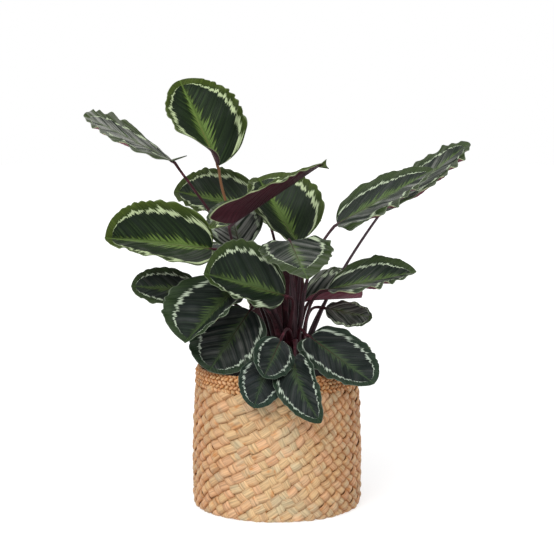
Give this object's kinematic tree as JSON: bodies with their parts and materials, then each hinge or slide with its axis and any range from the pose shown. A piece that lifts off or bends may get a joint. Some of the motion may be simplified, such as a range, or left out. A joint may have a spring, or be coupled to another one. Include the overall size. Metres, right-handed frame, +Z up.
{
  "type": "potted plant",
  "caption": "Potted calathea with patterned oval leaves on long thin stalks, standing in a woven seagrass basket.",
  "frame": {"origin": "centre of the basket's underside, on the surface that it stands on", "axes": "+Z up along the basket's axis, the plant's front faces -Y, +X to the right as seen from the front"},
  "size_m": [0.5413, 0.3851, 0.592],
  "materials": {
    "seagrass": "woven, matte",
    "pot_plastic": "matte",
    "soil": "rough, granular",
    "leaf": "satin",
    "stalk": "satin"
  },
  "bodies": {
    "root": {"basket": "seagrass", "grow_pot": "pot_plastic", "soil": "soil", "blade_top": "leaf", "stalk_top": "stalk", "blade_far_left": "leaf", "stalk_far_left": "stalk", "blade_back_left": "leaf", "stalk_back_left": "stalk", "blade_inner_left": "leaf", "stalk_inner_left": "stalk", "blade_rolled": "leaf", "stalk_rolled": "stalk", "blade_upright": "leaf", "stalk_upright": "stalk", "blade_wide_left": "leaf", "stalk_wide_left": "stalk", "blade_right": "leaf", "stalk_right": "stalk", "blade_far_right": "leaf", "stalk_far_right": "stalk", "blade_mid_right": "leaf", "stalk_mid_right": "stalk", "blade_front": "leaf", "stalk_front": "stalk", "blade_centre_left": "leaf", "stalk_centre_left": "stalk", "blade_under_right": "leaf", "stalk_under_right": "stalk", "blade_lower_left": "leaf", "stalk_lower_left": "stalk", "blade_small_left": "leaf", "stalk_small_left": "stalk", "blade_lower_mid_left": "leaf", "stalk_lower_mid_left": "stalk", "blade_small_centre": "leaf", "stalk_small_centre": "stalk", "blade_drooping_left": "leaf", "stalk_drooping_left": "stalk", "blade_drooping_centre": "leaf", "stalk_drooping_centre": "stalk", "blade_lower_right": "leaf", "stalk_lower_right": "stalk", "blade_small_right": "leaf", "stalk_small_right": "stalk", "blade_rear_left": "leaf", "stalk_rear_left": "stalk", "blade_rear_high": "leaf", "stalk_rear_high": "stalk", "blade_rear_right": "leaf", "stalk_rear_right": "stalk", "blade_rear_low_left": "leaf", "stalk_rear_low_left": "stalk", "blade_rear_low": "leaf", "stalk_rear_low": "stalk", "blade_rear_low_right": "leaf", "stalk_rear_low_right": "stalk"}
  },
  "joints": []
}
